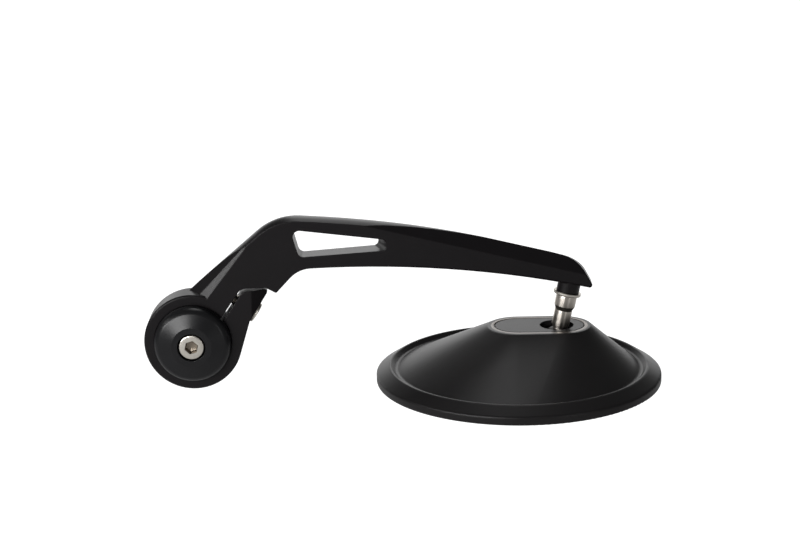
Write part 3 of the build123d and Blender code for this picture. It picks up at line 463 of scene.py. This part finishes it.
def loopSurface(name, loops, material, body, startPoint=None, endPoint=None, bands=()):
    # closed loops of points, loop after loop, joined by quads; each end closes on its point,
    # and with no end points the last loop joins the first, as round a ring.
    # bands are other materials, each with the first and last loop that it covers
    count = loops.shape[1]
    index = np.arange(loops.shape[0] * count).reshape(-1, count)
    if startPoint is None:
        index = np.vstack([index, index[:1]])
    ahead = np.roll(index, -1, axis=1)
    faces = np.stack([index[:-1], ahead[:-1], ahead[1:], index[1:]], axis=-1).reshape(-1, 4)
    points = loops.reshape(-1, 3)
    middle = points.mean(axis=0)
    faceList = faces.tolist()
    if startPoint is not None:
        ends = len(points) + np.zeros(count, int)
        faceList += np.stack([ends, ahead[0], index[0]], axis=-1).tolist()
        faceList += np.stack([ends + 1, index[-1], ahead[-1]], axis=-1).tolist()
        points = np.vstack([points, startPoint, endPoint])
    # six times the volume that the quads' halves sweep out tells which way they face
    halves = np.vstack([faces[:, [0, 1, 2]], faces[:, [0, 2, 3]]])
    a, b, c = (points[halves[:, k]] - middle for k in range(3))
    if np.sum(a * np.cross(b, c)) < 0:
        faceList = [face[::-1] for face in faceList]
    mesh = bpy.data.meshes.new(name)
    mesh.from_pydata((points * mm).tolist(), [], faceList)
    mesh.shade_smooth()
    mesh.set_sharp_from_angle(angle=sharpAngle)
    mesh.materials.append(material)
    slots = np.zeros(len(faceList), dtype=np.int32)
    for which, (bandMaterial, first, last) in enumerate(bands, 1):
        mesh.materials.append(bandMaterial)
        slots[first * count:last * count] = which
        if first == 0:
            slots[len(faces):len(faces) + count] = which
    mesh.polygons.foreach_set("material_index", slots)
    piece = bpy.data.objects.new(name, mesh)
    scene.collection.objects.link(piece)
    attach(piece, body)
    return piece


def axes(out, side):
    # three square directions: side, the one across it, and out along the axis
    out = np.array(out) / np.linalg.norm(out)
    side = np.array(side) / np.linalg.norm(side)
    return side, np.cross(out, side), out


def placed(radius, height, angle, origin, out, side):
    # polar coordinates to points: radius round the axis, height along it
    sideAxis, crossAxis, outAxis = axes(out, side)
    return (np.array(origin) + (radius * np.cos(angle))[..., None] * sideAxis
            + (radius * np.sin(angle))[..., None] * crossAxis + height[..., None] * outAxis)


def hexRadius(angle, acrossFlats):
    # distance from the middle of a hexagon to its side in each direction
    return acrossFlats / 2 / np.cos((angle + math.pi / 6) % (math.pi / 3) - math.pi / 6)


# what the two socket screws share: the head's small sizes in millimetres, then the thread's form by its pitch
screwForm = {
    "floorShare": 0.9, "floorSlope": 0.1, "drillTip": 0.5, "chamferDepth": 0.14, "chamferWidth": 0.12,
    "knurlFade": 0.15, "footBreak": 0.12, "seatBreak": 0.15, "neckDrop": 0.2,
    "steps": 8, "depth": 0.6, "flank": 1.25, "crest": 0.12, "tipDepth": 0.62,
}


def socketScrew(name, screw, material, body):
    # height 0 is the seat. Loops run out of the socket: floor, six walls, chamfer, face, rounded edge,
    # knurled side, seat, plain neck, then a thread whose radius drops by a triangle wave of height less
    # angle
    angle = np.linspace(0, 2 * math.pi, screw["around"], endpoint=False)
    ones = np.ones_like(angle)
    hexagon = hexRadius(angle + math.radians(screw["turn"]), screw["socket"])
    head, edge, top = screw["headRadius"], screw["edge"], screw["headHeight"]
    floorHeight = top - screw["socketDepth"]
    slope, fade = screwForm["floorSlope"], screwForm["knurlFade"]
    radii, heights = [], []
    socket = ((hexagon * screwForm["floorShare"], floorHeight - slope), (hexagon, floorHeight + slope),
              (hexagon, top - screwForm["chamferDepth"]), (hexagon + screwForm["chamferWidth"], top))
    for radius, height in socket:
        radii.append(radius)
        heights.append(height * ones)
    for bend in np.radians((0, 30, 60, 90)):
        radii.append((head - edge + edge * math.sin(bend)) * ones)
        heights.append((top - edge + edge * math.cos(bend)) * ones)
    ridges = screw["knurl"] * np.abs((angle * screw["ridges"] / (2 * math.pi)) % 1 * 2 - 1)
    knurling = ((top - edge - fade, 0.0), (top - edge - 2 * fade, 1.0), (3 * fade, 1.0), (2 * fade, 0.0),
                (screwForm["footBreak"], 0.0))
    for height, share in knurling:
        radii.append(head - ridges * share)
        heights.append(height * ones)
    shank, tip = screw["shankRadius"], -screw["shankLength"]
    for radius, height in ((head - screwForm["seatBreak"], 0.0), (shank + screwForm["seatBreak"], 0.0),
                           (shank, -screwForm["neckDrop"]), (shank, screw["threadStart"])):
        radii.append(radius * ones)
        heights.append(height * ones)
    pitch = screw["pitch"]
    step = pitch / screwForm["steps"]
    threadHeights = np.arange(screw["threadStart"] - step, tip + pitch / 2, -step)[:, None]
    groove = np.abs((threadHeights / pitch - angle / (2 * math.pi)) % 1 * 2 - 1)
    runIn = np.minimum(1.0, (screw["threadStart"] - threadHeights) / pitch)
    cutDepth = np.clip(groove * screwForm["flank"] - screwForm["crest"], 0, 1)
    radii.extend(shank - runIn * screwForm["depth"] * pitch * cutDepth)
    heights.extend(threadHeights * ones)
    radii.append((shank - screwForm["tipDepth"] * pitch) * ones)
    heights.append(tip * ones)
    seat, out, side = screw["seat"], screw["out"], screw["side"]
    loops = placed(np.array(radii), np.array(heights), angle[None, :], seat, out, side)
    outAxis = axes(out, side)[2]
    start = np.array(seat) + outAxis * (floorHeight - screwForm["drillTip"])
    end = np.array(seat) + outAxis * tip
    # the socket's floor and walls take the darker steel, a painted shade
    return loopSurface(name, loops, material, body, start, end, [(socketShadeSteel, 0, 2)])


def turnedPiece(name, profile, material, body, origin, out, side, around,
                startHeight=None, endHeight=None, bands=()):
    # a profile of radius and height carried once round an axis
    angle = np.linspace(0, 2 * math.pi, around, endpoint=False)
    radius, height = np.array(profile).T
    spread = np.ones_like(angle)
    loops = placed(radius[:, None] * spread, height[:, None] * spread, angle[None, :], origin, out, side)
    outAxis = axes(out, side)[2]
    if startHeight is None:
        return loopSurface(name, loops, material, body)
    start = np.array(origin) + outAxis * startHeight
    end = np.array(origin) + outAxis * endHeight
    return loopSurface(name, loops, material, body, start, end, bands)


# cap screw, M5: its face sits just inside the cap, and its thread shows past the nut
capScrew = {
    "seat": (0, -11.9, 0), "out": (0, -1, 0), "side": (1, 0, 0), "around": 144, "turn": 12,
    "headRadius": 4.25, "headHeight": 5.0, "edge": 0.45, "socket": 4.0, "socketDepth": 2.5,
    "ridges": 36, "knurl": 0.12, "shankRadius": 2.5, "shankLength": 48.9, "pitch": 0.8, "threadStart": -41.0,
}
piece = socketScrew("cap_screw", capScrew, headedSteel, "base")
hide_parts("bar_end_screw")

# pinch screw, M4, across the clamp's split
pinchScrew = {
    "seat": (18.121, -6.0, 11.103), "out": (0.83867, 0, -0.54464), "side": (0, 1, 0),
    "around": 144, "turn": 20,
    "headRadius": 3.5, "headHeight": 4.0, "edge": 0.35, "socket": 3.0, "socketDepth": 2.0,
    "ridges": 36, "knurl": 0.12, "shankRadius": 2.0, "shankLength": 11.8, "pitch": 0.7, "threadStart": -1.5,
}
piece = socketScrew("pinch_screw", pinchScrew, headedSteel, "arm")
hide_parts("pinch_bolt")
print("screws cut")

# ball stud, along its own axis from the ball's centre: ball, neck, shaft, shoulder, collar, threaded end.
# The ball and the groove under the collar are painted nearly black, as painted shade
studShape = {
    "ball": 5.5, "neck": 2.4, "neckEnd": 5.25, "shaft": 3.0, "shaftStart": 6.25, "shoulder": 11.9,
    "collar": 3.55, "collarStart": 13.2, "collarEnd": 17.2, "thread": 2.5, "end": 24.2,
    "break": 0.1, "groove": 0.12, "grooveStart": (0.25, 0.2), "collarBreak": (0.08, 0.2), "lead": 0.4,
    "poleGap": 0.05, "ballLoops": 40, "around": 96,
}
ball, neck, shaft, collar, thread = (studShape[k] for k in ("ball", "neck", "shaft", "collar", "thread"))
shaftStart, shoulder, collarStart, collarEnd = (
    studShape[k] for k in ("shaftStart", "shoulder", "collarStart", "collarEnd"))
sharp, groove, lead = studShape["break"], studShape["groove"], studShape["lead"]
lowBreak, highBreak = studShape["collarBreak"]
ballLoops = studShape["ballLoops"]
sweep = np.linspace(-math.pi / 2 + studShape["poleGap"], math.acos(neck / ball), ballLoops)
profile = list(zip(ball * np.cos(sweep), ball * np.sin(sweep)))
profile += [
    (neck, studShape["neckEnd"]), (shaft - sharp, shaftStart - sharp), (shaft, shaftStart + sharp),
    (shaft, shoulder - studShape["grooveStart"][0]),
    (shaft - groove, shoulder - studShape["grooveStart"][1]), (shaft - groove, shoulder),
    (collar - lowBreak, collarStart - sharp), (collar, collarStart + lowBreak),
    (collar, collarEnd - highBreak), (collar - highBreak, collarEnd),
    (thread, collarEnd), (thread, studShape["end"] - lead), (thread - lead, studShape["end"]),
]
# the ball's loops, then those from the groove up to the collar, which take the painted shade
paintedShadeBands = [(paintedShadeSteel, 0, ballLoops - 1), (paintedShadeSteel, ballLoops + 4, ballLoops + 6)]
piece = turnedPiece("stud", profile, turnedSteel, "stud", ballJoint["centre"], studAxis,
                    (0, 1, 0), studShape["around"], -ball, studShape["end"], paintedShadeBands)
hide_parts("ball_stud")

# washer under the boss, stamped: rounded on one face's edge
washerShape = {"inner": 2.55, "outer": 4.65, "low": 17.2, "high": 18.2, "round": 0.3, "burr": 0.1,
               "roundLoops": 5, "around": 96}
inner, outer, low, high = (washerShape[k] for k in ("inner", "outer", "low", "high"))
bend = np.linspace(0, math.pi / 2, washerShape["roundLoops"])
rounded = zip(outer - washerShape["round"] * (1 - np.sin(bend)),
              low + washerShape["round"] * (1 - np.cos(bend)))
profile = [(inner, low)] + list(rounded)
profile += [(outer, high - washerShape["burr"]), (outer - washerShape["burr"], high), (inner, high)]
piece = turnedPiece("boss_washer", profile, headedSteel, "stud", ballJoint["centre"], studAxis,
                    (0, 1, 0), washerShape["around"])
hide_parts("stud_washer")

# rubber bush, moulded with grip rings round it and flared inside for the cone nut
bushShape = {"inner": 2.75, "outer": 7.0, "start": 4.0, "end": 28.0, "edge": 0.3, "rings": 8, "groove": 0.55,
             "lip": 0.9, "coneDepth": 4.0, "coneSmall": 4.6, "loops": 129, "around": 96}
inner, outer, start, end = (bushShape[k] for k in ("inner", "outer", "start", "end"))
edge, coneFloor = bushShape["edge"], end - bushShape["coneDepth"]
run = np.linspace(start + edge, end - edge, bushShape["loops"])
beat = (run - run[0]) / (run[-1] - run[0]) * bushShape["rings"]
ripple = bushShape["groove"] * np.clip(np.cos(2 * math.pi * (beat - 0.5)) * 2 - 1, 0, 1)  # tops of a cosine
profile = [(inner, start), (outer - edge, start)] + list(zip(outer - ripple, run))
profile += [(outer - edge, end), (outer - bushShape["lip"], end),
            (bushShape["coneSmall"], coneFloor), (inner, coneFloor)]
piece = turnedPiece("grip_bush", profile, neoprene, "base", (0, 0, 0), (0, 1, 0), (1, 0, 0),
                    bushShape["around"])
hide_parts("expander_bush")

# mirror glass: a spherical cap below, flat above, with its edge ground to a small bevel. It tilts with
# the head
glassShape = {"offset": -13.0, "radius": 45.0, "low": -12.0, "high": -10.2, "curve": 1400.0, "bevel": 0.3,
              "hub": 1.0, "loops": 24, "around": 192}
radius, low, high, bevel, curve, hub = (
    glassShape[k] for k in ("radius", "low", "high", "bevel", "curve", "hub"))
bow = curve - math.sqrt(curve ** 2 - radius ** 2)
spread = np.linspace(hub, radius - bevel, glassShape["loops"])
drop = bow - (curve - np.sqrt(curve ** 2 - spread ** 2))
profile = list(zip(spread, low - drop))
profile += [(radius, low + bevel), (radius, high - bevel), (radius - bevel, high), (hub, high)]
glassMiddle = np.array(ballJoint["centre"]) + glassShape["offset"] * headSide
piece = turnedPiece("convex_glass", profile, silveredGlass, "head", glassMiddle, headAxis,
                    headSide, glassShape["around"], low - bow, high)
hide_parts("mirror_glass")
print("turned pieces done")
